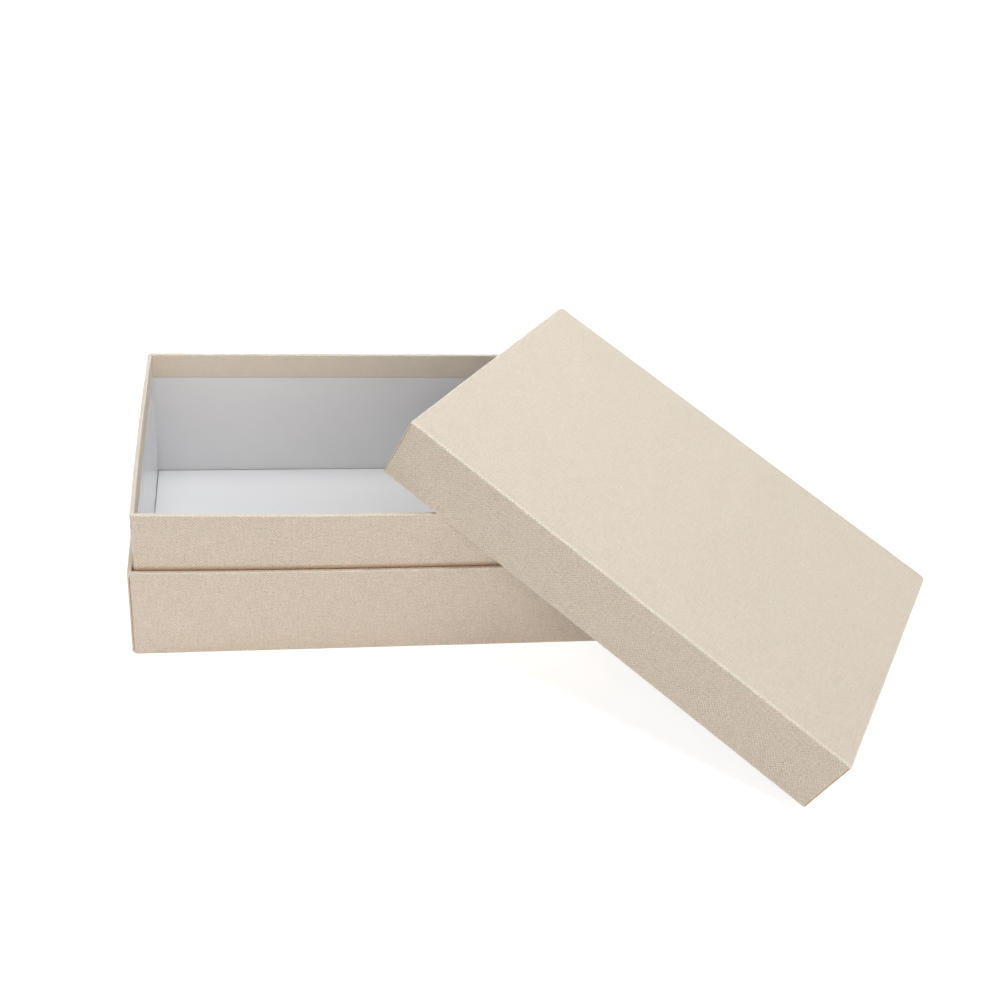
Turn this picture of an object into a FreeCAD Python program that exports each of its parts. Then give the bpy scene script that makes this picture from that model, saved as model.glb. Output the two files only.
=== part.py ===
import FreeCAD, Part
import os

# A rigid neck box of grey board covered in linen paper. An outer base tray holds an
# inner neck tray that stands higher, so that the base's edge is a ledge, and the lid,
# a shallow tray upside down, closes down to that ledge. The lid is off here: it leans
# on two edges of the neck, with one low corner on the table.
#
# Frame: millimetres, X along the box, Y to its back, Z up. The origin is the middle
# of the base's underside. An inset is how far a face lies inside the outer faces.

DRIVING = [
    ("box_length", 310, "outer length of base and lid"),
    ("box_depth", 216, "outer depth of base and lid"),
    ("rim_height", 104, "top of the neck's rim above the table"),
    ("shoulder_height", 64, "top of the base's edge, where the closed lid stands"),
    ("board", 1.7, "grey board"),
    ("paper", 0.25, "linen covering paper"),
    ("lining", 0.3, "white lining paper"),
    ("tape", 0.2, "corner tape"),
    ("glue", 0.15, "layer of glue between two sheets"),
    ("crevice", 0.7, "play between the base's edge and the neck"),
    ("headroom", 0.4, "play between the closed lid and the neck's rim"),
    ("front_bow", 3.5, "how far the front wall stands out halfway along its rim"),
    ("left_bow", 1, "the same at the left wall"),
    ("base_turn_in", 15, "covering paper folded down inside the base's edge"),
    ("neck_turn_in", 18.4, "covering paper folded down inside the neck's rim"),
    ("foot_turn", 16, "covering paper folded under the base"),
    ("sheet_play", 0.3, "gap where two sheets of paper meet edge to edge"),
    ("tape_leg", 14, "width of corner tape on each wall"),
    ("lid_turn_in_share", 0.43, "share of the lid's height with paper folded up inside"),
    ("lid_yaw", -37.87, "angle of the leaning lid about the vertical, degrees"),
    ("lid_pitch", 21.88, "angle that it slopes down by, degrees"),
    ("lid_roll", -1.41, "angle that it is rolled by, degrees"),
    ("rim_clearance", 0.3, "between the leaning lid and the rim that carries it"),
    ("table_clearance", 0.2, "between the lid's low corner and the table"),
    ("overrun", 2, "how far a cutting block runs past what it cuts"),
]

DERIVED = [
    ("bond", "tape + 2 * glue", "between covering paper and board, outside"),
    ("board_inset", "paper + bond", "outer face of a wall board"),
    ("board_back", "board_inset + board", "inner face of a wall board"),
    ("rim_width", "board_back + glue + paper", "whole width of a covered edge"),
    ("lining_back", "board_back + glue + lining", "inner face of a wall's lining"),
    ("neck_inset", "rim_width + crevice", "outer face of the neck"),
    ("base_floor", "paper + glue + board", "top of the base's bottom board"),
    ("neck_foot", "base_floor + glue", "underside of the neck tray"),
    ("neck_floor", "neck_foot + board", "top of the neck's bottom board"),
    ("edge_cover", "paper + glue", "paper and glue over a board's edge"),
    ("lid_height", "rim_height - shoulder_height + headroom + lid_top", "whole lid"),
    ("lid_top", "lining + glue + board + bond + paper", "layers of the lid's top"),
    ("lid_turn_in", "lid_height * lid_turn_in_share", "paper folded up inside the lid"),
    ("lid_board_top", "lid_height - paper - bond", "upper face of the top board"),
    ("lid_board_foot", "lid_board_top - board", "lower face of the top board"),
]

doc = FreeCAD.newDocument("neck_box")


def make_sheet():
    """Writes the sizes into a spreadsheet, each with its name as alias."""
    table = doc.addObject("Spreadsheet::Sheet", "sizes")
    table.Label = "sizes"
    row = 1
    for alias, value, note in DRIVING:
        table.set("A%d" % row, alias)
        table.set("B%d" % row, str(value))
        table.set("C%d" % row, note)
        table.setAlias("B%d" % row, alias)
        row += 1
    for alias, formula, note in DERIVED:
        table.set("A%d" % row, alias)
        table.setAlias("B%d" % row, alias)
        table.set("C%d" % row, note)
        row += 1
    first = len(DRIVING) + 1
    for place, (alias, formula, note) in enumerate(DERIVED):
        table.set("B%d" % (first + place), "=" + formula)
    doc.recompute()
    return table


sizes = make_sheet()


def size(formula):
    """The value of a name or formula of the sheet."""
    value = sizes.evalExpression(formula)
    return float(getattr(value, "Value", value))


def bind(item, field, formula):
    """Binds one property to a formula of the sheet's names."""
    words = formula.replace("(", " ( ").replace(")", " ) ").split()
    names = [alias for alias, value, note in DRIVING + DERIVED]
    item.setExpression(field, " ".join("sizes." + w if w in names else w for w in words))


# Walls of the base and the neck. They are straight at the foot and bow outwards more
# and more towards the rim, at the front and at the left.

def bow_at(bow, along, span, height):
    """How far a bowed wall stands out at a place along it and at a height."""
    share = 2 * along / span
    return size(bow) * (1 - share * share) * height / size("rim_height")


def side(start, middle, end):
    """One side of an outline: an arc through three points, or a line."""
    chord = end - start
    if chord.cross(middle - start).Length < size("glue"):
        return Part.LineSegment(start, end).toShape()
    return Part.Arc(start, middle, end).toShape()


def outline(inset, height):
    """The tray's outline at a height, inside its outer faces by the inset."""
    length = size("box_length")
    depth = size("box_depth")
    x = length / 2 - inset
    y = depth / 2 - inset

    def left(along):
        return -x - bow_at("left_bow", along, depth, height)

    def front(along):
        return -y - bow_at("front_bow", along, length, height)

    front_left = FreeCAD.Vector(left(-y), front(-x), height)
    front_middle = FreeCAD.Vector(0, front(0), height)
    front_right = FreeCAD.Vector(x, front(x), height)
    back_right = FreeCAD.Vector(x, y, height)
    back_left = FreeCAD.Vector(left(y), y, height)
    left_middle = FreeCAD.Vector(left(0), 0, height)
    return Part.Wire([
        side(front_left, front_middle, front_right),
        Part.LineSegment(front_right, back_right).toShape(),
        Part.LineSegment(back_right, back_left).toShape(),
        side(back_left, left_middle, front_left),
    ])


def bowed_block(name, inset, low, high):
    """The whole space inside the bowed faces at an inset, between two heights."""
    item = doc.addObject("Part::Feature", name)
    ends = [outline(size(inset), size(low)), outline(size(inset), size(high))]
    item.Shape = Part.makeLoft(ends, True, True)
    return item


def block(name, low_corner, spans):
    """A box from its low corner and its three spans, as formulas."""
    item = doc.addObject("Part::Box", name)
    for field, formula in zip(("Length", "Width", "Height"), spans):
        bind(item, field, formula)
    for field, formula in zip("xyz", low_corner):
        bind(item, "Placement.Base." + field, formula)
    return item


def plain_block(name, inset, low, high):
    """The same space as a bowed block's, for the lid, whose walls are straight."""
    corner = ("( %s ) - box_length / 2" % inset, "( %s ) - box_depth / 2" % inset, low)
    spans = ("box_length - 2 * ( %s )" % inset, "box_depth - 2 * ( %s )" % inset,
             "( %s ) - ( %s )" % (high, low))
    return block(name, corner, spans)


def join(kind, name, first, second):
    """A boolean of two objects: Cut, Fuse or Common."""
    item = doc.addObject("Part::" + kind, name)
    item.Base = first
    item.Tool = second
    return item


def ring(maker, name, outer, inner, low, high):
    """A frame between two insets and two heights."""
    whole = maker(name + "_whole", outer, low, high)
    core = maker(name + "_core", inner, "( %s ) - overrun" % low, "( %s ) + overrun" % high)
    return join("Cut", name, whole, core)


def four_walls(maker, prefix, names, outer, inner, low, high):
    """Splits a ring into four sheets: front and back run the whole length."""
    across = "box_length + 2 * overrun + 2 * left_bow"
    start_x = "0 - box_length / 2 - overrun - left_bow"
    foot = "( %s ) - overrun" % low
    rise = "( %s ) - ( %s ) + 2 * overrun" % (high, low)
    reach = "( %s ) + overrun + front_bow" % inner
    front_y = "0 - box_depth / 2 - overrun - front_bow"
    back_y = "box_depth / 2 - ( %s )" % inner
    side_y = "( %s ) - box_depth / 2" % inner
    side_span = "box_depth - 2 * ( %s )" % inner
    zones = [
        ((start_x, front_y, foot), (across, reach, rise)),
        ((start_x, back_y, foot), (across, reach, rise)),
        ((start_x, side_y, foot), ("box_length / 2 + overrun + left_bow", side_span, rise)),
        (("0", side_y, foot), ("box_length / 2 + overrun", side_span, rise)),
    ]
    walls = []
    for wall, (corner, spans) in zip(names, zones):
        whole = ring(maker, "%s_%s_ring" % (prefix, wall), outer, inner, low, high)
        zone = block("%s_%s_zone" % (prefix, wall), corner, spans)
        walls.append(join("Common", "%s_%s" % (prefix, wall), whole, zone))
    return walls


def corner_tapes(maker, name, inset, low, high):
    """Four strips of tape, one folded round each upright corner of the boards."""
    strip = ring(maker, name + "_ring", inset, "( %s ) + tape" % inset, low, high)
    leg = "tape_leg + overrun"
    rise = "( %s ) - ( %s )" % (high, low)
    zones = []
    for corner_x in ("0 - box_length / 2 - overrun + ( %s )" % inset,
                     "box_length / 2 - tape_leg - ( %s )" % inset):
        for corner_y in ("0 - box_depth / 2 - overrun + ( %s )" % inset,
                         "box_depth / 2 - tape_leg - ( %s )" % inset):
            zone = block("%s_zone_%d" % (name, len(zones)), (corner_x, corner_y, low),
                         (leg, leg, rise))
            zones.append(zone)
    corners = doc.addObject("Part::Compound", name + "_zones")
    corners.Links = zones
    return join("Common", name, strip, corners)


# Covering papers. Each is one sheet: outside the wall, over its edge and down inside.

def tray_cover(name, inset, low, high, turn_in):
    """The paper of an upright tray, open below, with its top edge folded inwards."""
    fold = "( %s ) + rim_width" % inset
    shell = join("Cut", name + "_shell",
                 bowed_block(name + "_outside", inset, low, high),
                 bowed_block(name + "_inside", "( %s ) + paper" % inset,
                             "( %s ) - overrun" % low, "( %s ) - paper" % high))
    flap = bowed_block(name + "_flap", fold + " - paper", "( %s ) - %s" % (high, turn_in),
                       "( %s ) - paper / 2" % high)
    folded = join("Fuse", name + "_folded", shell, flap)
    mouth = bowed_block(name + "_mouth", fold, "( %s ) - %s - overrun" % (high, turn_in),
                        "( %s ) + overrun" % high)
    return join("Cut", name, folded, mouth)


def base_cover():
    """The base's paper, which is also folded under the base all round."""
    shell = join("Cut", "base_cover_shell",
                 bowed_block("base_cover_outside", "0", "0", "shoulder_height"),
                 bowed_block("base_cover_inside", "paper", "paper",
                             "shoulder_height - paper"))
    flap = bowed_block("base_cover_flap", "rim_width - paper",
                       "shoulder_height - base_turn_in", "shoulder_height - paper / 2")
    folded = join("Fuse", "base_cover_folded", shell, flap)
    mouth = bowed_block("base_cover_mouth", "rim_width",
                        "shoulder_height - base_turn_in - overrun",
                        "shoulder_height + overrun")
    window = plain_block("base_cover_window", "foot_turn", "0 - overrun", "paper + overrun")
    open_above = join("Cut", "base_cover_open", folded, mouth)
    return join("Cut", "base_cover", open_above, window)


def lid_cover():
    """The lid's paper: over the top, down the sides and up inside the lower edge."""
    shell = join("Cut", "lid_cover_shell",
                 plain_block("lid_cover_outside", "0", "0", "lid_height"),
                 plain_block("lid_cover_inside", "paper", "paper", "lid_height - paper"))
    flap = plain_block("lid_cover_flap", "rim_width - paper", "paper / 2", "lid_turn_in")
    folded = join("Fuse", "lid_cover_folded", shell, flap)
    mouth = plain_block("lid_cover_mouth", "rim_width", "0 - overrun",
                        "lid_turn_in + overrun")
    return join("Cut", "lid_cover", folded, mouth)


def base_pieces():
    """The outer tray that the box stands on."""
    top = "shoulder_height - edge_cover"
    bottom = plain_block("base_bottom_board", "board_inset", "edge_cover", "base_floor")
    foot_sheet = plain_block("base_foot_sheet", "foot_turn + sheet_play", "0", "paper")
    walls = four_walls(bowed_block, "base",
                       ["front_board", "back_board", "left_board", "right_board"],
                       "board_inset", "board_back", "base_floor", top)
    tapes = corner_tapes(bowed_block, "base_corner_tapes", "paper + glue",
                         "base_floor", top)
    return [bottom, foot_sheet] + walls + [tapes, base_cover()]


def neck_pieces():
    """The inner tray, glued into the base, with its white lining."""
    top = "rim_height - edge_cover"
    bottom = plain_block("neck_bottom_board", "neck_inset + board_inset", "neck_foot",
                         "neck_floor")
    walls = four_walls(bowed_block, "neck",
                       ["front_board", "back_board", "left_board", "right_board"],
                       "neck_inset + board_inset", "neck_inset + board_back",
                       "neck_floor", top)
    tapes = corner_tapes(bowed_block, "neck_corner_tapes", "neck_inset + paper + glue",
                         "neck_floor", top)
    cover = tray_cover("neck_cover", "neck_inset", "neck_foot", "rim_height",
                       "neck_turn_in")
    linings = four_walls(bowed_block, "neck",
                         ["front_lining", "back_lining", "left_lining", "right_lining"],
                         "neck_inset + board_back + glue", "neck_inset + lining_back",
                         "neck_floor + glue", "rim_height - neck_turn_in - sheet_play")
    floor_sheet = plain_block("neck_floor_lining", "neck_inset + lining_back + sheet_play",
                              "neck_floor + glue", "neck_floor + glue + lining")
    return [bottom] + walls + [tapes, cover] + linings + [floor_sheet]


def lid_pieces():
    """The lid in its own frame: its lower edge at height 0, centred."""
    top = plain_block("lid_top_board_flat", "board_inset", "lid_board_foot",
                      "lid_board_top")
    walls = four_walls(plain_block, "lid",
                       ["front_board", "back_board", "left_board", "right_board"],
                       "board_inset", "board_back", "edge_cover", "lid_board_foot")
    tapes = corner_tapes(plain_block, "lid_corner_tapes", "paper + glue", "edge_cover",
                         "lid_board_top")
    linings = four_walls(plain_block, "lid",
                         ["front_lining", "back_lining", "left_lining", "right_lining"],
                         "board_back + glue", "lining_back", "lid_turn_in + sheet_play",
                         "lid_board_foot - glue")
    sheet = plain_block("lid_top_lining_flat", "lining_back + sheet_play",
                        "lid_board_foot - glue - lining", "lid_board_foot - glue")
    boxes = []
    for name, flat in (("lid_top_board", top), ("lid_top_lining", sheet)):
        piece = doc.addObject("Part::Compound", name)
        piece.Links = [flat]
        boxes.append(piece)
    return boxes + walls + [tapes, lid_cover()] + linings


def leaning_pose():
    """Where the lid rests: a low corner on the table, two edges on the neck's rim.

    The inner line of the lid's front edge lies on the outer line of the front rim,
    and the inner line of its back edge on the outer line of the right rim.
    """
    turn = FreeCAD.Rotation(size("lid_yaw"), size("lid_pitch"), size("lid_roll"))
    half_length = size("box_length") / 2
    half_depth = size("box_depth") / 2
    edge = half_depth - size("rim_width")
    along = turn.multVec(FreeCAD.Vector(1, 0, 0))
    low_corner = turn.multVec(FreeCAD.Vector(half_length, half_depth, 0))
    front_line = turn.multVec(FreeCAD.Vector(0, -edge, 0))
    back_line = turn.multVec(FreeCAD.Vector(0, edge, 0))
    height = size("table_clearance") - low_corner.z
    rise = size("rim_height + rim_clearance") - height
    front_touch = front_line + along * ((rise - front_line.z) / along.z)
    back_touch = back_line + along * ((rise - back_line.z) / along.z)
    right_face = half_length - size("neck_inset")
    shift_x = right_face - back_touch.x
    touch_x = front_touch.x + shift_x
    bow = bow_at("front_bow", touch_x, 2 * half_length, size("rim_height"))
    front_face = size("neck_inset") - half_depth - bow
    shift_y = front_face - front_touch.y
    return FreeCAD.Placement(FreeCAD.Vector(shift_x, shift_y, height), turn)


def check(items):
    """Stops if any object failed or any piece is not a valid shape."""
    for item in doc.Objects:
        if "Invalid" in item.State or "Error" in item.State:
            raise RuntimeError("object failed: " + item.Name)
    for item in items:
        if item.Shape.isNull() or not item.Shape.isValid() or not item.Shape.Solids:
            raise RuntimeError("shape not valid: " + item.Label)


def main():
    """Builds every piece, sets the lid in its leaning place and writes the files."""
    base = base_pieces()
    neck = neck_pieces()
    lid = lid_pieces()
    doc.recompute()
    pose = leaning_pose()
    for piece in lid:
        piece.Placement = pose
    doc.recompute()
    pieces = base + neck + lid
    check(pieces)
    os.makedirs("parts", exist_ok=True)
    for piece in pieces:
        piece.Label = piece.Name
        piece.Shape.exportStep("parts/%s.step" % piece.Label)
        print("%-20s solids %d volume %.0f" % (piece.Label, len(piece.Shape.Solids),
                                               piece.Shape.Volume))
    print("lid at", pose.Base, "in", len(pieces), "pieces")


main()
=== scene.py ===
import math
from collections import namedtuple

import bpy
from mathutils import Matrix, Vector


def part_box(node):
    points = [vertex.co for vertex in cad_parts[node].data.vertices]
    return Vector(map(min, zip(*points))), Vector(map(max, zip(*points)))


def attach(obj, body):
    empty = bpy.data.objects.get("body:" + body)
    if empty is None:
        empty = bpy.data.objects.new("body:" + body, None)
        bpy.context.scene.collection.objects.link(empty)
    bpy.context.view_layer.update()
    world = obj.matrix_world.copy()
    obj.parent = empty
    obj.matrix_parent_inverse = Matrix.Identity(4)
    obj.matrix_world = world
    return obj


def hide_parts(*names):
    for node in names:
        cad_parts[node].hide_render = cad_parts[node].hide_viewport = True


# A rigid neck box in linen paper, its lid off and leaning. The neck's boards are the
# frame's own solids. All else is built here: the boards of base and lid, with rounded
# corners, and every paper, lining and tape as a thin closed sheet with rounded folds.
# Lengths are in metres. An inset is how far a face lies inside a tray's outer faces.

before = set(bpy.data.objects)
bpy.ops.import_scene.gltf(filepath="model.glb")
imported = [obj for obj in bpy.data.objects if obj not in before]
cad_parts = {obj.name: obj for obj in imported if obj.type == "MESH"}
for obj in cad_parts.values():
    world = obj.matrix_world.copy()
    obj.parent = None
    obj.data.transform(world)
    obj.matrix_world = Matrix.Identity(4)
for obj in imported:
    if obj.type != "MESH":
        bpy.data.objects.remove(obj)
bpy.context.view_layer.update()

MM = 0.001

# Thicknesses, gaps and reaches, the same as in the solids.
PAPER = 0.25 * MM
GLUE = 0.15 * MM
TAPE = 0.2 * MM
LINING = 0.3 * MM
BOARD = 1.7 * MM
CREVICE = 0.7 * MM
BASE_TURN_IN = 15 * MM
NECK_TURN_IN = 18.4 * MM
LID_TURN_IN_SHARE = 0.43
FOOT_TURN = 16 * MM
TAPE_LEG = 14 * MM
FRONT_BOW = 3.5 * MM
LEFT_BOW = 1 * MM
HEADROOM = 0.4 * MM

# Insets of the layers of a wall.
BOND = TAPE + 2 * GLUE
BOARD_FACE = PAPER + BOND
BOARD_BACK = BOARD_FACE + BOARD
LINING_FACE = BOARD_BACK + GLUE
LINING_BACK = LINING_FACE + LINING
RIM_WIDTH = LINING_FACE + PAPER
NECK_INSET = RIM_WIDTH + CREVICE

# Gaps where two sheets meet edge to edge, and the wider one round the floor's lining.
SHEET_PLAY = 0.3 * MM
FLOOR_PLAY = 0.6 * MM

# Radii of the folds, of the upright corners and of the ends of the base's walls.
FOLD = 0.8 * MM
FOOT_FOLD = 0.9 * MM
LID_FOLD = 1.25 * MM
BOX_CORNER = 1.8 * MM
LID_FRONT_CORNER = 1.5 * MM
LID_BACK_CORNER = 4.0 * MM
PLATE_CORNER = 10.5 * MM
END_ROUNDING = 4.0 * MM
LEAST_CORNER = 0.05 * MM
ROUNDING_ERROR = 0.001 * MM
ARC_STEPS = 6
BOW_STEPS = 32
SHARP_ANGLE = math.radians(28)

# The cut edge of the long panels' paper, a thin groove at each upright corner. It stops
# short of the folds. On the neck it shows as a run by the shoulder and a nick by the rim.
SEAM_WIDTH = 0.5 * MM
SEAM_LIP = 0.08 * MM
SEAM_DEPTH = 0.18 * MM
BASE_SEAM_STOP = 2 * MM
LID_SEAM_STOP = 0.5 * MM
SHOULDER_SEAM = (-10 * MM, 12 * MM)
RIM_SEAM = (-10.5 * MM, -7.5 * MM)

# How dark the painted shade in the crevice at the neck's shoulder is, how high up it
# fades, and how pale the middle of an upright corner is painted, partly as rubbed wear
# and partly as a painted highlight.
SHOULDER_PAINTED_SHADE = 0.75
PAINTED_SHADE_HEIGHT = 3 * MM
CORNER_WEAR_AND_HIGHLIGHT = 0.9

HALF_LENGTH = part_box("base_cover")[1].x
HALF_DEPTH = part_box("base_cover")[1].y
RIM_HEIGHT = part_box("neck_cover")[1].z
SHOULDER_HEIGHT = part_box("base_cover")[1].z
NECK_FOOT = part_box("neck_bottom_board")[0].z
NECK_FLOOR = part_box("neck_bottom_board")[1].z

# The lid's own frame: its lower edge at height 0, centred, turned as it leans.
LID_YAW = math.radians(-37.87)
LID_PITCH = math.radians(21.88)
LID_ROLL = math.radians(-1.41)
LID_LAYERS = LINING + GLUE + BOARD + BOND + PAPER
LID_HEIGHT = RIM_HEIGHT - SHOULDER_HEIGHT + HEADROOM + LID_LAYERS
LID_TURN_IN = LID_TURN_IN_SHARE * LID_HEIGHT
LID_BOARD_TOP = LID_HEIGHT - PAPER - BOND
LID_BOARD_FOOT = LID_BOARD_TOP - BOARD

UNTURNED = Matrix.Identity(4)


def lid_matrix():
    """From the lid's own frame to the row frame, set by the middle of its top board."""
    turn = (Matrix.Rotation(LID_YAW, 4, "Z") @ Matrix.Rotation(LID_PITCH, 4, "Y")
            @ Matrix.Rotation(LID_ROLL, 4, "X"))
    low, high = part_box("lid_top_board")
    own_middle = Vector((0, 0, LID_BOARD_FOOT + BOARD / 2))
    return Matrix.Translation((low + high) / 2 - turn @ own_middle) @ turn


# Outlines of the trays. A station stands at a share along a side and, at the side's end, a
# share of the turn round the corner after it. It is sunk where it lies in a seam.
Station = namedtuple("Station", "side along turn sunk")
FRONT, RIGHT, BACK, LEFT = range(4)

# For each side in that order: its name, the way it faces and the corner before it.
SIDE_WORDS = ["front", "right", "back", "left"]
SIDE_ANGLES = [-math.pi / 2, 0, math.pi / 2, math.pi]
CORNERS = [(-1, -1), (1, -1), (1, 1), (-1, 1)]


class Plan:
    """A tray seen from above: a rounded rectangle whose front and left may bow.

    corners are the radii of the corners after the front, right, back and left side.
    seam_turn says where round a corner the seam lies: 0 at the long side, 1 at the short.
    Where it is blunted, its walls' ends are rounded above and below, seen from the side.
    """

    def __init__(self, corners, seam_turn=0.5, inset=0.0, front_bow=0.0, left_bow=0.0,
                 blunted=False):
        self.corners = corners
        self.seam_turn = seam_turn
        self.inset = inset
        self.front_bow = front_bow
        self.left_bow = left_bow
        self.blunted = blunted

    def point(self, station, inset, height):
        """The point of a station at an inset from the tray's own outer face."""
        start, start_radius = self.corner_centre(station.side, inset)
        end, end_radius = self.corner_centre((station.side + 1) % 4, inset)
        radius = start_radius + (end_radius - start_radius) * station.along
        angle = SIDE_ANGLES[station.side] + station.turn * math.pi / 2
        outwards = Vector((math.cos(angle), math.sin(angle)))
        x, y = start.lerp(end, station.along) + radius * outwards
        if self.blunted:
            height = self.blunt(height, max(HALF_LENGTH - abs(x), HALF_DEPTH - abs(y)))
        rise = height / RIM_HEIGHT
        front = self.front_bow * (1 - (x / HALF_LENGTH) ** 2) * rise
        left = self.left_bow * (1 - (y / HALF_DEPTH) ** 2) * rise
        y -= front * max(0.0, -outwards.y)
        x -= left * max(0.0, -outwards.x)
        return Vector((x, y, height))

    def corner_centre(self, corner, inset):
        """The centre and the radius of the corner before a side, at an inset."""
        radius = max(self.corners[corner - 1] - inset, LEAST_CORNER)
        way_x, way_y = CORNERS[corner]
        return Vector((way_x * (HALF_LENGTH - self.inset - inset - radius),
                       way_y * (HALF_DEPTH - self.inset - inset - radius))), radius

    def blunt(self, height, reach):
        """Moves a height off the wall's upper or lower edge, at a reach from its end."""
        low = height < SHOULDER_HEIGHT / 2
        short = max(END_ROUNDING - reach, 0.0)
        drop = END_ROUNDING - math.sqrt(END_ROUNDING ** 2 - short ** 2)
        return height + drop if low else height - drop

    def span(self, side):
        """The straight length of a side at its outer face."""
        half = HALF_LENGTH if side in (FRONT, BACK) else HALF_DEPTH
        return 2 * (half - self.inset) - self.corners[side - 1] - self.corners[side]

    def near_ends(self, side):
        """Shares of a side that lie in the rounding of its ends."""
        if not self.blunted:
            return []
        run = (END_ROUNDING - self.corners[side]) / self.span(side)
        return [run * k / ARC_STEPS for k in range(1, ARC_STEPS + 1)]


BASE = Plan([BOX_CORNER] * 4, seam_turn=0.13, front_bow=FRONT_BOW, left_bow=LEFT_BOW,
            blunted=True)
BASE_PLATE = Plan([PLATE_CORNER] * 4)
NECK = Plan([BOX_CORNER] * 4, inset=NECK_INSET, front_bow=FRONT_BOW, left_bow=LEFT_BOW)
LID = Plan([LID_FRONT_CORNER, LID_BACK_CORNER, LID_BACK_CORNER, LID_FRONT_CORNER],
           seam_turn=0.3)


def side_stations(side, first=0.0, last=1.0, near_ends=()):
    """Evenly spaced stations of one side, and those near both its ends."""
    shares = [k / BOW_STEPS for k in range(BOW_STEPS + 1)]
    shares += [share for near in near_ends for share in (near, 1 - near)]
    return [Station(side, first + (last - first) * share, 0, False)
            for share in sorted(shares)]


def corner_stations(plan, side, seamed=False):
    """Stations round the corner after a side, sunk where a seam runs."""
    turns = [(k / ARC_STEPS, False) for k in range(1, ARC_STEPS)]
    if seamed:
        quarter = plan.corners[side] * math.pi / 2
        half = SEAM_WIDTH / 2 / quarter
        reach = half + SEAM_LIP / quarter
        middle = plan.seam_turn if side in (FRONT, BACK) else 1 - plan.seam_turn
        turns = [(turn, sunk) for turn, sunk in turns if abs(turn - middle) > reach]
        turns += [(middle - reach, False), (middle - half, True)]
        turns += [(middle + half, True), (middle + reach, False)]
    return [Station(side, 1.0, turn, sunk) for turn, sunk in sorted(turns)]


def corner_end(side):
    """The last station of the corner after a side."""
    return [Station(side, 1.0, 1.0, False)]


def whole_outline(plan, seamed=True):
    """Stations all the way round, with a seam at each corner if asked for."""
    stations = []
    for side in (FRONT, RIGHT, BACK, LEFT):
        stations += side_stations(side, near_ends=plan.near_ends(side))
        stations += corner_stations(plan, side, seamed)
    return stations


def arc(middle, radius, start, end):
    """Points of an arc of a profile, its angles in quarter turns from inwards to up.

    Those between its ends are marked for wear: a fold is painted pale, partly as rubbed
    wear and partly as a painted highlight.
    """
    points = []
    for k in range(ARC_STEPS + 1):
        angle = (start + (end - start) * k / ARC_STEPS) * math.pi / 2
        points.append((middle[0] + radius * math.cos(angle),
                       middle[1] + radius * math.sin(angle), float(0 < k < ARC_STEPS)))
    return points


def lengths_along(points):
    """How far along a run of points each one lies."""
    lengths = [0.0]
    for before, after in zip(points, points[1:]):
        lengths.append(lengths[-1] + (Vector(after) - Vector(before)).length)
    return lengths


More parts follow.
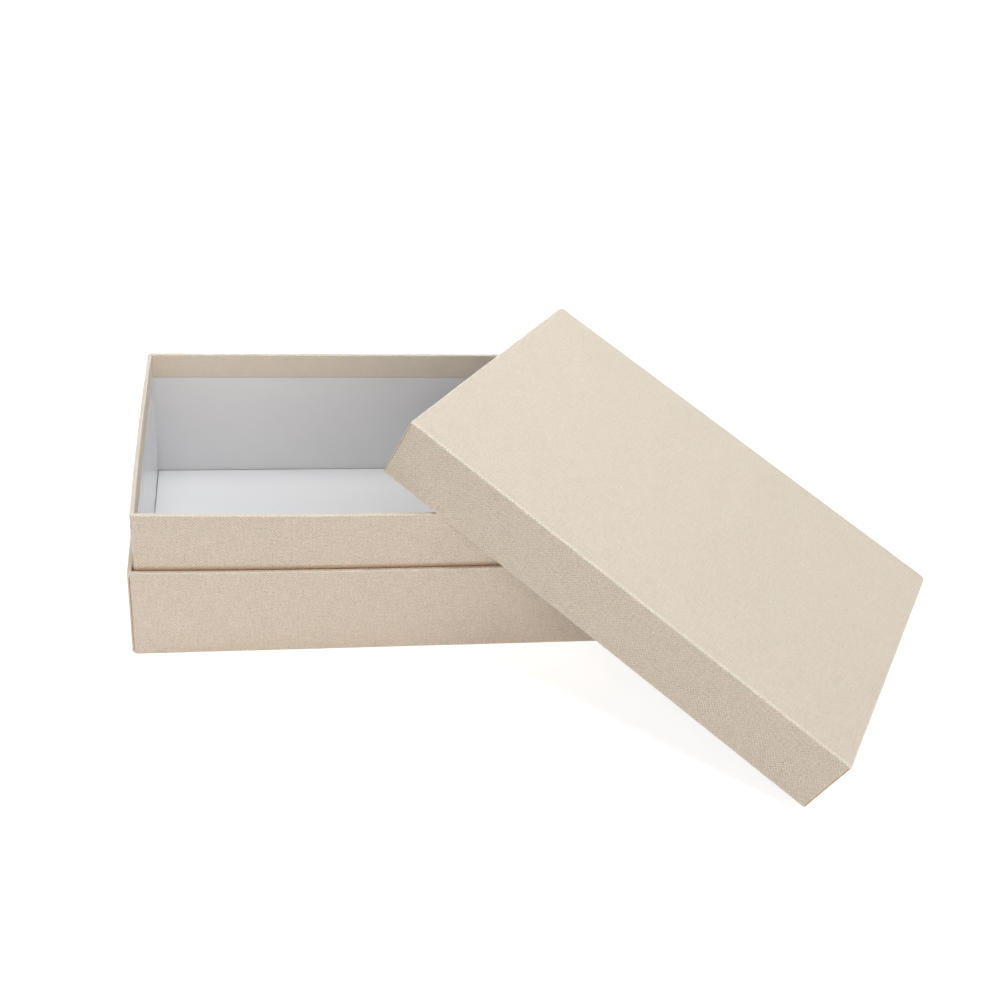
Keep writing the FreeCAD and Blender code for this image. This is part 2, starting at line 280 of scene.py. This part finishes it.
class Sheet:
    """A mesh in the making: vertices, faces with UVs in metres, seam and wear marks. The seam
    mark also carries painted shade, and the wear mark a painted highlight.
    """

    def __init__(self, matrix=UNTURNED):
        self.matrix = matrix
        self.vertices = []
        self.seams = []
        self.wear_and_highlight = []
        self.faces = []
        self.uvs = []

    def add(self, point, seam_and_shade, wear_and_highlight):
        self.vertices.append(self.matrix @ point)
        self.seams.append(seam_and_shade)
        self.wear_and_highlight.append(wear_and_highlight)

    def face(self, corners, uvs):
        self.faces.append(tuple(corners))
        self.uvs.append(tuple(uvs))

    def sweep(self, plan, stations, profile, closed, seams=(), painted_shades=None, skip=None):
        """Carries a closed profile along stations.

        A point of the profile is (inset, height), and (inset, height, wear) on a fold, the
        wear mark being rubbed paleness with a painted highlight. seams are the runs of height
        where sunk stations are sunk, and the shade table gives the painted shade of the
        crevice at a height, both on the outer face alone. skip leaves out the strip of faces
        after that profile point, and its edges get no wear and no painted highlight.
        """
        painted_shades = painted_shades or {}
        first = len(self.vertices)
        rows = len(profile)
        worn_and_highlit = [point[2] if len(point) > 2 else 0.0 for point in profile]
        profile = [point[:2] for point in profile]
        capped = () if skip is None else (skip, (skip + 1) % rows)
        for station in stations:
            for k, (inset, height) in enumerate(profile):
                # The middle of an upright corner is painted pale, partly as rubbed wear and
                # partly as a painted highlight.
                rubbed_and_highlit = 0.0 if k in capped else 1 - abs(2 * station.turn - 1)
                sunk = (station.sunk and inset == 0
                        and any(low <= height <= high for low, high in seams))
                depth = SEAM_DEPTH if sunk else 0.0
                # Painted shade of the crevice at the neck's shoulder, carried on the seam
                # mark.
                painted_shade = 0.0 if inset else painted_shades.get(height, 0.0)
                self.add(plan.point(station, inset + depth, height), max(sunk, painted_shade),
                         max(worn_and_highlit[k], CORNER_WEAR_AND_HIGHLIGHT * rubbed_and_highlit))
        count = len(stations)
        ring = [plan.point(station, 0, 0) for station in stations]
        across = lengths_along(ring + ring[:1])
        down = lengths_along(profile + profile[:1])
        for i in range(count if closed else count - 1):
            here = first + i * rows
            there = first + (i + 1) % count * rows
            for k in range(rows):
                if k == skip:
                    continue
                m = (k + 1) % rows
                self.face((here + k, there + k, there + m, here + m),
                          ((across[i], down[k]), (across[i + 1], down[k]),
                           (across[i + 1], down[k + 1]), (across[i], down[k + 1])))
        if not closed:
            end = [first + k for k in range(rows)]
            self.face(end, profile)
            self.face([k + (count - 1) * rows for k in reversed(end)], reversed(profile))

    def cap(self, indices, upwards):
        """Closes a ring of vertices with one flat face."""
        back = self.matrix.inverted()
        order = indices if upwards else list(reversed(indices))
        self.face(order, [tuple((back @ self.vertices[k]).xy) for k in order])

    def plate(self, plan, inset, low, high):
        """A flat sheet between two heights."""
        first = len(self.vertices)
        stations = whole_outline(plan, seamed=False)
        self.sweep(plan, stations, [(inset, low), (inset, high)], True, skip=1)
        ring = range(len(stations))
        self.cap([first + 2 * k + 1 for k in ring], True)
        self.cap([first + 2 * k for k in ring], False)

    def finish(self, name, body, slot, material, *nodes):
        """Makes the object, which rides on a body and stands for its nodes."""
        mesh = bpy.data.meshes.new(name)
        mesh.from_pydata(self.vertices, [], self.faces)
        layer = mesh.uv_layers.new(name="UVMap")
        for polygon, uvs in zip(mesh.polygons, self.uvs):
            for loop, uv in zip(polygon.loop_indices, uvs):
                layer.data[loop].uv = uv
        for mark, values in (("seam_and_shade", self.seams), ("wear_and_highlight", self.wear_and_highlight)):
            mesh.attributes.new(mark, "FLOAT", "POINT").data.foreach_set("value", values)
        mesh.shade_smooth()
        mesh.set_sharp_from_angle(angle=SHARP_ANGLE)
        mesh.materials.append(material)
        item = bpy.data.objects.new(name, mesh)
        bpy.context.scene.collection.objects.link(item)
        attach(item, body)
        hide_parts(*nodes)


# Materials

# The mix node's colour sockets share their names with those for numbers and vectors.
MIX_FIRST = 6
MIX_SECOND = 7
MIX_RESULT = 2


def linear(red, green, blue):
    """A colour read as screen values from 0 to 255, off the sRGB curve."""
    def channel(value):
        value /= 255
        return value / 12.92 if value <= 0.04045 else ((value + 0.055) / 1.055) ** 2.4
    return (channel(red), channel(green), channel(blue), 1.0)


class Nodes:
    """The node tree of a material or world, with short ways to add nodes."""

    def __init__(self, owner, output_kind):
        owner.use_nodes = True
        self.owner = owner
        self.tree = owner.node_tree
        self.tree.nodes.clear()
        self.output = self.new(output_kind)

    def new(self, kind, **settings):
        node = self.tree.nodes.new(kind)
        for field, value in settings.items():
            setattr(node, field, value)
        return node

    def put(self, value, socket):
        """Links a socket, or sets a number or colour."""
        if isinstance(value, bpy.types.NodeSocket):
            self.tree.links.new(value, socket)
        else:
            socket.default_value = value

    def math(self, operation, first, second=None, clamp=False):
        node = self.new("ShaderNodeMath", operation=operation, use_clamp=clamp)
        self.put(first, node.inputs[0])
        if second is not None:
            self.put(second, node.inputs[1])
        return node.outputs[0]

    def scale(self, value, factor):
        return self.math("MULTIPLY", value, factor)

    def total(self, first, *others):
        for other in others:
            first = self.math("ADD", first, other)
        return first

    def centred(self, value, width):
        """Maps 0 to 1 onto a width about 0."""
        return self.spread(value, -width / 2, width / 2)

    def split(self, vector):
        node = self.new("ShaderNodeSeparateXYZ")
        self.put(vector, node.inputs[0])
        return node.outputs

    def combine(self, x, y, z=0.0):
        node = self.new("ShaderNodeCombineXYZ")
        for value, socket in zip((x, y, z), node.inputs):
            self.put(value, socket)
        return node.outputs[0]

    def noise(self, vector, scale, detail=2.0, roughness=0.5):
        node = self.new("ShaderNodeTexNoise")
        self.put(vector, node.inputs["Vector"])
        node.inputs["Scale"].default_value = scale
        node.inputs["Detail"].default_value = detail
        node.inputs["Roughness"].default_value = roughness
        return node.outputs["Fac"]

    def spread(self, value, low, high):
        """Maps 0 to 1 onto a range from low to high."""
        node = self.new("ShaderNodeMapRange")
        self.put(value, node.inputs["Value"])
        node.inputs["To Min"].default_value = low
        node.inputs["To Max"].default_value = high
        return node.outputs["Result"]

    def mix(self, share, first, second):
        node = self.new("ShaderNodeMix", data_type="RGBA")
        self.put(share, node.inputs["Factor"])
        self.put(first, node.inputs[MIX_FIRST])
        self.put(second, node.inputs[MIX_SECOND])
        return node.outputs[MIX_RESULT]

    def tint(self, colour, value):
        """A colour times a grey value."""
        node = self.new("ShaderNodeVectorMath", operation="SCALE")
        plain = not isinstance(colour, bpy.types.NodeSocket)
        self.put(colour[:3] if plain else colour, node.inputs[0])
        self.put(value, node.inputs["Scale"])
        return node.outputs[0]

    def surface(self, colour, roughness, height, distance, specular):
        """The paper or board surface, with a bump from a height of 0 to 1."""
        bump = self.new("ShaderNodeBump")
        bump.inputs["Strength"].default_value = 1.0
        bump.inputs["Distance"].default_value = distance
        self.put(height, bump.inputs["Height"])
        shader = self.new("ShaderNodeBsdfPrincipled")
        self.put(colour, shader.inputs["Base Color"])
        self.put(roughness, shader.inputs["Roughness"])
        self.put(bump.outputs["Normal"], shader.inputs["Normal"])
        shader.inputs["Specular IOR Level"].default_value = specular
        self.put(shader.outputs["BSDF"], self.output.inputs["Surface"])
        return self.owner


def material_nodes(name):
    return Nodes(bpy.data.materials.new(name), "ShaderNodeOutputMaterial")


# The linen. Its colours, its thread and how far the threads sway to either side.
LINEN_COLOUR = linear(229, 217, 201)
# The worn colour is partly rubbed wear and partly a painted highlight on folds and corners.
WORN_HIGHLIGHT_COLOUR = linear(246, 240, 228)
# The seam colour also paints the shade of the crevice at the neck's shoulder.
SEAM_AND_SHADE_COLOUR = linear(188, 146, 104)
THREAD = 1.1 * MM
SWAY_WIDTH = 1.2 * THREAD

# The scales of its noises, in features for each metre of paper, and how high the noise
# of the specks has to rise for one.
WARP_SWAY_SCALE = 220.0
WEFT_SWAY_SCALE = 160.0
PATCH_SCALE = 45.0
BREAK_SCALE = 380.0
SLUB_SCALE_ALONG = 90.0
SLUB_SCALE_ACROSS = 1100.0
GRAIN_SCALE = 700.0
SPECK_SCALE = 520.0
SPECK_LIMIT = 0.77

# How deep the weave is by patches and breaks, and how much of the rubbed wear and painted
# highlight the breaks leave.
PATCH_DEPTH = (0.3, 1.7)
BREAK_DEPTH = (0.2, 1.8)
BREAK_WEAR_AND_HIGHLIGHT = (0.4, 1.0)

# How strongly each thing shades the colour, on level faces and on upright ones. The
# stronger shading on upright faces is painted shade of the relief.
WEAVE_SHADE = (0.05, 0.24)
GRAIN_SHADE = (0.26, 0.52)
SLUB_SHADE = (0.14, 0.22)
PATCH_SHADE = 0.05
SPECK_SHADE = -0.12

# What each thing adds to the bump, how high a bump of 1 stands, and the sheen.
WEAVE_HEIGHT = 0.8
SLUB_HEIGHT = 0.3
GRAIN_HEIGHT = 0.5
LINEN_RELIEF = 0.35 * MM
LINEN_ROUGHNESS = (0.72, 0.9)
LINEN_SPECULAR = 0.25


def linen_paper():
    """Cream paper embossed as plain-woven linen, in sheet coordinates of metres."""
    n = material_nodes("linen_paper")
    uv = n.new("ShaderNodeUVMap", uv_map="UVMap").outputs["UV"]
    x, y = n.split(uv)[:2]
    sway = n.centred(n.noise(uv, WARP_SWAY_SCALE), SWAY_WIDTH)
    drift = n.centred(n.noise(n.combine(y, x), WEFT_SWAY_SCALE), SWAY_WIDTH)
    warp = n.math("SINE", n.scale(n.total(x, sway), math.pi / THREAD))
    weft = n.math("SINE", n.scale(n.total(y, drift), math.pi / THREAD))
    crossing = n.scale(n.scale(warp, weft), 0.5)
    patches = n.noise(uv, PATCH_SCALE)
    breaks = n.noise(uv, BREAK_SCALE, detail=1.0)
    depth = n.scale(n.spread(patches, *PATCH_DEPTH), n.spread(breaks, *BREAK_DEPTH))
    weave = n.scale(crossing, depth)
    slubs = n.total(slub_noise(n, x, y, SLUB_SCALE_ALONG, SLUB_SCALE_ACROSS),
                    slub_noise(n, x, y, SLUB_SCALE_ACROSS, SLUB_SCALE_ALONG))
    grain = n.centred(n.noise(uv, GRAIN_SCALE, roughness=0.6), 1.0)
    specks = n.math("GREATER_THAN", n.noise(uv, SPECK_SCALE, detail=1.0), SPECK_LIMIT)
    # Painted shade of the relief: the weave, grain and slubs are painted with more contrast
    # on upright faces than on level ones such as the lid's top.
    normal = n.new("ShaderNodeNewGeometry").outputs["True Normal"]
    steep = n.math("SUBTRACT", 1.0, n.math("ABSOLUTE", n.split(normal)[2]))
    shade = n.total(1.0, n.scale(weave, n.spread(steep, *WEAVE_SHADE)),
                    n.scale(grain, n.spread(steep, *GRAIN_SHADE)),
                    n.scale(slubs, n.spread(steep, *SLUB_SHADE)),
                    n.centred(patches, PATCH_SHADE), n.scale(specks, SPECK_SHADE))
    # The seam mark also carries the painted shade of the crevice at the neck's shoulder.
    seam_and_shade = n.new("ShaderNodeAttribute", attribute_name="seam_and_shade").outputs["Fac"]
    # Folds and corner middles turn towards the worn colour: rubbed wear with a painted
    # highlight.
    wear_and_highlight = n.new("ShaderNodeAttribute", attribute_name="wear_and_highlight").outputs["Fac"]
    rubbed_and_highlit = n.scale(wear_and_highlight, n.spread(breaks, *BREAK_WEAR_AND_HIGHLIGHT))
    paper = n.mix(rubbed_and_highlit, LINEN_COLOUR, WORN_HIGHLIGHT_COLOUR)
    colour = n.tint(n.mix(seam_and_shade, paper, SEAM_AND_SHADE_COLOUR), shade)
    height = n.total(n.scale(weave, WEAVE_HEIGHT), n.scale(slubs, SLUB_HEIGHT),
                     n.scale(grain, GRAIN_HEIGHT))
    return n.surface(colour, n.spread(patches, *LINEN_ROUGHNESS), height, LINEN_RELIEF,
                     LINEN_SPECULAR)


def slub_noise(n, x, y, x_scale, y_scale):
    """Thick places in the threads, from -0.5 to 0.5: a noise stretched one way."""
    return n.centred(n.noise(n.combine(n.scale(x, x_scale), n.scale(y, y_scale)), 1.0), 1.0)


LINING_COLOUR = linear(232, 232, 234)
CLOUD_SCALE = 60.0
CLOUD_SHADE = (0.985, 1.015)
LINING_FIBRE_SCALE = 1400.0
LINING_FIBRE_SHADE = (-0.012, 0.012)
LINING_RELIEF = 0.004 * MM
LINING_ROUGHNESS = (0.18, 0.26)
LINING_SPECULAR = 0.5


def white_lining():
    """Smooth white paper with a faint fibre cloud."""
    n = material_nodes("white_lining")
    place = n.new("ShaderNodeTexCoord").outputs["Object"]
    cloud = n.noise(place, CLOUD_SCALE, detail=3.0)
    fibre = n.noise(place, LINING_FIBRE_SCALE, roughness=0.7)
    shade = n.total(n.spread(cloud, *CLOUD_SHADE), n.spread(fibre, *LINING_FIBRE_SHADE))
    return n.surface(n.tint(LINING_COLOUR, shade), n.spread(cloud, *LINING_ROUGHNESS), fibre,
                     LINING_RELIEF, LINING_SPECULAR)


TAPE_COLOUR = linear(196, 166, 122)
TAPE_SPECK = linear(160, 128, 90)
BOARD_COLOUR = linear(158, 152, 143)
BOARD_SPECK = linear(120, 113, 104)
STOCK_FIBRE_SCALE = 700.0
STOCK_FIBRE_SHADE = (0.88, 1.1)
STOCK_SPECK_SCALE = 1600.0
STOCK_SPECK_LIMIT = 0.66
STOCK_RELIEF = 0.04 * MM
STOCK_ROUGHNESS = (0.8, 0.95)
STOCK_SPECULAR = 0.2


def plain_stock(name, colour, speck):
    """Unfinished board or tape: grey or brown stock with specks and fibres."""
    n = material_nodes(name)
    place = n.new("ShaderNodeTexCoord").outputs["Object"]
    fibre = n.noise(place, STOCK_FIBRE_SCALE, detail=4.0, roughness=0.7)
    flecks = n.noise(place, STOCK_SPECK_SCALE, detail=1.0)
    specks = n.math("GREATER_THAN", flecks, STOCK_SPECK_LIMIT)
    shade = n.spread(fibre, *STOCK_FIBRE_SHADE)
    return n.surface(n.tint(n.mix(specks, colour, speck), shade),
                     n.spread(fibre, *STOCK_ROUGHNESS), fibre, STOCK_RELIEF, STOCK_SPECULAR)


# Pieces

def folded_rim(top, foot, turn_in, marks):
    """Profile of a paper from its foot up, over a rim and down inside, and back.

    marks are heights on the outer face where a seam starts or ends, and on the neck also
    where the painted shade at the shoulder starts and fades out.
    """
    outer = (FOLD, top - FOLD)
    inner = (RIM_WIDTH - FOLD, top - FOLD)
    points = [(0, foot)] + [(0, mark) for mark in marks]
    points += arc(outer, FOLD, 2, 1) + arc(inner, FOLD, 1, 0)
    points += [(RIM_WIDTH, top - turn_in), (RIM_WIDTH - PAPER, top - turn_in)]
    points += arc(inner, FOLD - PAPER, 0, 1) + arc(outer, FOLD - PAPER, 1, 2)
    points += [(PAPER, foot)]
    return snapped(points)


def snapped(points):
    """Puts points a rounding error from the outer face on it."""
    return [(0 if abs(inset) < ROUNDING_ERROR else inset, *rest) for inset, *rest in points]


def seam_marks(seams):
    """Heights just outside and at both ends of each seam, from below up."""
    marks = []
    for low, high in seams:
        marks += [low - SEAM_LIP, low, high, high + SEAM_LIP]
    return marks


def base_cover(material):
    """The base's paper: from under its foot up and over the shoulder."""
    seams = [(FOOT_FOLD + BASE_SEAM_STOP, SHOULDER_HEIGHT - FOLD - BASE_SEAM_STOP)]
    foot = (FOOT_FOLD, FOOT_FOLD)
    under = [(FOOT_TURN, 0), (END_ROUNDING, 0)] + arc(foot, FOOT_FOLD, 3, 2)
    over = folded_rim(SHOULDER_HEIGHT, FOOT_FOLD, BASE_TURN_IN, seam_marks(seams))
    back = arc(foot, FOOT_FOLD - PAPER, 2, 3) + [(END_ROUNDING, PAPER), (FOOT_TURN, PAPER)]
    sheet = Sheet()
    profile = snapped(under + over[1:-1] + back)
    sheet.sweep(BASE, whole_outline(BASE), profile, True, seams)
    sheet.finish("base_paper", "box", "linen_paper", material, "base_cover")


def neck_cover(material):
    """The neck's paper: from its foot up and over the rim, with painted shade at the
    shoulder.
    """
    seams = [tuple(SHOULDER_HEIGHT + height for height in SHOULDER_SEAM),
             tuple(RIM_HEIGHT + height for height in RIM_SEAM)]
    # Painted shade in the crevice by the base's rim: darkest at the shoulder, gone higher up.
    painted_shades = {SHOULDER_HEIGHT: SHOULDER_PAINTED_SHADE, SHOULDER_HEIGHT + PAINTED_SHADE_HEIGHT: 0.0}
    marks = sorted(seam_marks(seams) + list(painted_shades))
    profile = folded_rim(RIM_HEIGHT, NECK_FOOT, NECK_TURN_IN, marks)
    sheet = Sheet()
    sheet.sweep(NECK, whole_outline(NECK), profile, True, seams, painted_shades)
    sheet.finish("neck_paper", "box", "linen_paper", material, "neck_cover")


def lid_cover(matrix, material):
    """The lid's paper: up from inside its lower edge, round the edge and over the top."""
    seams = [(FOLD + LID_SEAM_STOP, LID_HEIGHT - LID_FOLD - LID_SEAM_STOP)]
    inner = (RIM_WIDTH - FOLD, FOLD)
    outer = (FOLD, FOLD)
    shoulder = (LID_FOLD, LID_HEIGHT - LID_FOLD)
    outside = [(RIM_WIDTH, LID_TURN_IN)] + arc(inner, FOLD, 0, -1) + arc(outer, FOLD, -1, -2)
    outside += [(0, mark) for mark in seam_marks(seams)] + arc(shoulder, LID_FOLD, 2, 1)
    inside = arc(shoulder, LID_FOLD - PAPER, 1, 2) + arc(outer, FOLD - PAPER, -2, -1)
    inside += arc(inner, FOLD - PAPER, -1, 0) + [(RIM_WIDTH - PAPER, LID_TURN_IN)]
    profile = snapped(outside + inside)
    rows = len(profile)
    top = len(outside) - 1
    stations = whole_outline(LID)
    sheet = Sheet(matrix)
    sheet.sweep(LID, stations, profile, True, seams, skip=top)
    sheet.cap([k * rows + top for k in range(len(stations))], True)
    sheet.cap([k * rows + top + 1 for k in range(len(stations))], False)
    sheet.finish("lid_paper", "lid", "linen_paper", material, "lid_cover")


def corner_tapes(name, body, node, plan, low, high, material, matrix=UNTURNED):
    """Four strips of tape, each folded round an upright corner of the boards."""
    outer = PAPER + GLUE
    profile = [(outer, low), (outer, high), (outer + TAPE, high), (outer + TAPE, low)]
    sheet = Sheet(matrix)
    for side in (FRONT, RIGHT, BACK, LEFT):
        after = (side + 1) % 4
        stations = side_stations(side, 1 - TAPE_LEG / plan.span(side), 1.0)
        stations += corner_stations(plan, side)
        stations += side_stations(after, 0.0, TAPE_LEG / plan.span(after))
        sheet.sweep(plan, stations, profile, False)
    sheet.finish(name, body, "corner_tape", material, node)


def wall_boards(prefix, body, plan, low, high, material, matrix=UNTURNED):
    """The four wall boards, the long ones with the rounded corners."""
    profile = [(BOARD_FACE, low), (BOARD_FACE, high), (BOARD_BACK, high), (BOARD_BACK, low)]
    for side, word in enumerate(SIDE_WORDS):
        stations = side_stations(side, near_ends=plan.near_ends(side))
        if side in (FRONT, BACK):
            before = (side - 1) % 4
            stations = ([Station(before, 1.0, 0, False)] + corner_stations(plan, before)
                        + stations + corner_stations(plan, side) + corner_end(side))
        sheet = Sheet(matrix)
        sheet.sweep(plan, stations, profile, False)
        sheet.finish("%s_%s_stock" % (prefix, word), body, "grey_board", material,
                     "%s_%s_board" % (prefix, word))


def wall_linings(prefix, body, plan, low, high, material, matrix=UNTURNED):
    """One sheet of lining on each wall, bent round the corner after it."""
    profile = [(LINING_FACE, low), (LINING_FACE, high), (LINING_BACK, high),
               (LINING_BACK, low)]
    for side, word in enumerate(SIDE_WORDS):
        stations = side_stations(side) + corner_stations(plan, side) + corner_end(side)
        sheet = Sheet(matrix)
        sheet.sweep(plan, stations, profile, False)
        sheet.finish("%s_%s_lining_paper" % (prefix, word), body, "white_lining", material,
                     "%s_%s_lining" % (prefix, word))


def flat_sheet(name, body, slot, node, plan, inset, low, high, material, matrix=UNTURNED):
    """One piece that lies flat: a board, a lining or the foot sheet."""
    sheet = Sheet(matrix)
    sheet.plate(plan, inset, low, high)
    sheet.finish(name, body, slot, material, node)


def dress_base(linen, stock, tape):
    foot = PAPER + GLUE
    board_foot = foot + BOARD
    top = SHOULDER_HEIGHT - PAPER - GLUE
    base_cover(linen)
    flat_sheet("base_bottom_stock", "box", "grey_board", "base_bottom_board", BASE_PLATE,
               BOARD_FACE, foot, board_foot, stock)
    wall_boards("base", "box", BASE, board_foot, top, stock)
    flat_sheet("base_foot_paper", "box", "linen_paper", "base_foot_sheet", BASE,
               FOOT_TURN + SHEET_PLAY, 0, PAPER, linen)
    corner_tapes("base_tapes", "box", "base_corner_tapes", BASE, board_foot, top, tape)


def dress_neck(linen, lining, tape):
    floor = NECK_FLOOR + GLUE
    neck_cover(linen)
    corner_tapes("neck_tapes", "box", "neck_corner_tapes", NECK, NECK_FLOOR,
                 RIM_HEIGHT - PAPER - GLUE, tape)
    wall_linings("neck", "box", NECK, floor, RIM_HEIGHT - NECK_TURN_IN - SHEET_PLAY, lining)
    flat_sheet("neck_floor_paper", "box", "white_lining", "neck_floor_lining", NECK,
               LINING_BACK + FLOOR_PLAY, floor, floor + LINING, lining)


def dress_lid(linen, lining, stock, tape):
    pose = lid_matrix()
    foot = PAPER + GLUE
    ceiling = LID_BOARD_FOOT - GLUE
    lid_cover(pose, linen)
    flat_sheet("lid_top_stock", "lid", "grey_board", "lid_top_board", LID, BOARD_FACE,
               LID_BOARD_FOOT, LID_BOARD_TOP, stock, pose)
    wall_boards("lid", "lid", LID, foot, LID_BOARD_FOOT, stock, pose)
    corner_tapes("lid_tapes", "lid", "lid_corner_tapes", LID, foot, LID_BOARD_TOP, tape, pose)
    wall_linings("lid", "lid", LID, LID_TURN_IN + SHEET_PLAY, ceiling, lining, pose)
    flat_sheet("lid_top_paper", "lid", "white_lining", "lid_top_lining", LID,
               LINING_BACK + SHEET_PLAY, ceiling - LINING, ceiling, lining, pose)


def dress():
    """Builds every piece and gives the neck's own boards their stock."""
    linen = linen_paper()
    lining = white_lining()
    tape = plain_stock("corner_tape", TAPE_COLOUR, TAPE_SPECK)
    stock = plain_stock("grey_board", BOARD_COLOUR, BOARD_SPECK)
    for name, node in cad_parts.items():
        if name.startswith("neck") and name.endswith("_board"):
            for holder in node.material_slots:
                holder.material = stock
    dress_base(linen, stock, tape)
    dress_neck(linen, lining, tape)
    dress_lid(linen, lining, stock, tape)


# Surroundings: a pale floor, soft light from all sides and the photograph's camera.

# The floor's half side, its grey, and how brightly it adds white near the box and beyond
# its fade.
FLOOR_HALF = 12.0
FLOOR_GREY = (0.87, 0.91)
FLOOR_GRAIN_SCALE = 30.0
FLOOR_WHITE = (0.68, 1.0)
FLOOR_FADE = 2.0

# The sky's strength on the object, and the wide low lamp in front.
SKY = 0.12
FRONT_POWER = 1.97
FRONT_COLOUR = (1.0, 0.91, 0.86)
FRONT_HEIGHT = math.radians(5)
FRONT_SPREAD = math.radians(60)
FRONT_DISTANCE = 3

# Each soft box: its place, its side, its watts and its colour. All face one point.
SOFT_BOXES = {
    "top_box": (Vector((0, 0, 1.8)), 1.0, 16.2, (1.0, 1.0, 0.99)),
    "right_box": (Vector((1.4, 0, 1.8)), 1.0, 10.0, (0.88, 0.97, 1.0)),
    "back_box": (Vector((0, 1.4, 1.8)), 1.0, 5.8, (0.86, 0.97, 1.0)),
    "left_box": (Vector((-1, 0.6, 0.4)), 0.6, 4.0, (1.0, 0.96, 0.94)),
}
AIM = Vector((0.05, -0.05, 0.05))


def seen_directly(n):
    """1 for rays from the camera, and for those seen in gloss or through glass."""
    path = n.new("ShaderNodeLightPath")
    either = n.math("MAXIMUM", path.outputs["Is Camera Ray"], path.outputs["Is Glossy Ray"])
    return n.math("MAXIMUM", either, path.outputs["Is Transmission Ray"])


def pale_floor():
    """To the camera it is white where nothing shades it; by the box a shadow stays."""
    n = material_nodes("pale_floor")
    paint = n.new("ShaderNodeBsdfDiffuse")
    place = n.new("ShaderNodeTexCoord").outputs["Object"]
    grain = n.spread(n.noise(place, FLOOR_GRAIN_SCALE), *FLOOR_GREY)
    n.put(n.combine(grain, grain, grain), paint.inputs["Color"])
    white = n.new("ShaderNodeEmission")
    far = n.new("ShaderNodeVectorMath", operation="LENGTH")
    n.put(place, far.inputs[0])
    reach = n.math("DIVIDE", far.outputs["Value"], FLOOR_FADE, clamp=True)
    n.put(n.spread(reach, *FLOOR_WHITE), white.inputs["Strength"])
    both = n.new("ShaderNodeAddShader")
    n.put(paint.outputs[0], both.inputs[0])
    n.put(white.outputs[0], both.inputs[1])
    choice = n.new("ShaderNodeMixShader")
    n.put(seen_directly(n), choice.inputs["Fac"])
    n.put(paint.outputs[0], choice.inputs[1])
    n.put(both.outputs[0], choice.inputs[2])
    n.put(choice.outputs[0], n.output.inputs["Surface"])
    mesh = bpy.data.meshes.new("floor")
    corners = [(x * FLOOR_HALF, y * FLOOR_HALF, 0) for x, y in CORNERS]
    mesh.from_pydata(corners, [], [(0, 1, 2, 3)])
    mesh.materials.append(n.owner)
    floor = bpy.data.objects.new("floor", mesh)
    bpy.context.scene.collection.objects.link(floor)


def studio_light():
    """An even sky, white to the camera, a wide lamp low in front and four soft boxes."""
    world = bpy.data.worlds.new("studio")
    bpy.context.scene.world = world
    n = Nodes(world, "ShaderNodeOutputWorld")
    sky = n.new("ShaderNodeBackground")
    n.put(n.spread(seen_directly(n), SKY, 1.0), sky.inputs["Strength"])
    n.put((1.0, 1.0, 1.0, 1.0), sky.inputs["Color"])
    n.put(sky.outputs[0], n.output.inputs["Surface"])
    front = bpy.data.lights.new("front", "SUN")
    front.energy = FRONT_POWER
    front.color = FRONT_COLOUR
    front.angle = FRONT_SPREAD
    way = Vector((0, -math.cos(FRONT_HEIGHT), math.sin(FRONT_HEIGHT)))
    place_lamp(front, FRONT_DISTANCE * way, way)
    for name, (place, side, watts, colour) in SOFT_BOXES.items():
        box = bpy.data.lights.new(name, "AREA")
        box.shape = "SQUARE"
        box.size = side
        box.energy = watts
        box.color = colour
        place_lamp(box, place, place - AIM)


def place_lamp(data, place, way):
    """Hangs a lamp at its place. way points from what it lights back to it."""
    lamp = bpy.data.objects.new(data.name, data)
    lamp.location = place
    lamp.rotation_mode = "QUATERNION"
    lamp.rotation_quaternion = way.to_track_quat("Z", "Y")
    bpy.context.scene.collection.objects.link(lamp)


# The photograph's camera, from a fit of the box's outlines. The axis is the point of the
# picture, in pixels from its upper left corner, that the lens looks at squarely.
CAMERA_PLACE = Vector((-0.08867, -0.70493, 0.5155))
CAMERA_DOWN = math.radians(33.092)
CAMERA_RIGHT = math.radians(8.858)
CAMERA_ROLL = math.radians(4.204)
PICTURE = 1000
FOCAL_PIXELS = 1217.1
AXIS_X = 395.0
AXIS_Y = 490.1
SENSOR_WIDTH = 36
CLIP_START = 0.01
CLIP_END = 100


def photo_camera():
    data = bpy.data.cameras.new("camera")
    data.sensor_width = SENSOR_WIDTH
    data.lens = SENSOR_WIDTH * FOCAL_PIXELS / PICTURE
    data.shift_x = (PICTURE / 2 - AXIS_X) / PICTURE
    data.shift_y = (AXIS_Y - PICTURE / 2) / PICTURE
    data.clip_start = CLIP_START
    data.clip_end = CLIP_END
    camera = bpy.data.objects.new("camera", data)
    turn = (Matrix.Rotation(-CAMERA_RIGHT, 4, "Z")
            @ Matrix.Rotation(math.pi / 2 - CAMERA_DOWN, 4, "X")
            @ Matrix.Rotation(CAMERA_ROLL, 4, "Z"))
    camera.matrix_world = Matrix.Translation(CAMERA_PLACE) @ turn
    bpy.context.scene.collection.objects.link(camera)
    bpy.context.scene.camera = camera


dress()
pale_floor()
studio_light()
photo_camera()
bpy.context.scene.view_settings.view_transform = "Standard"
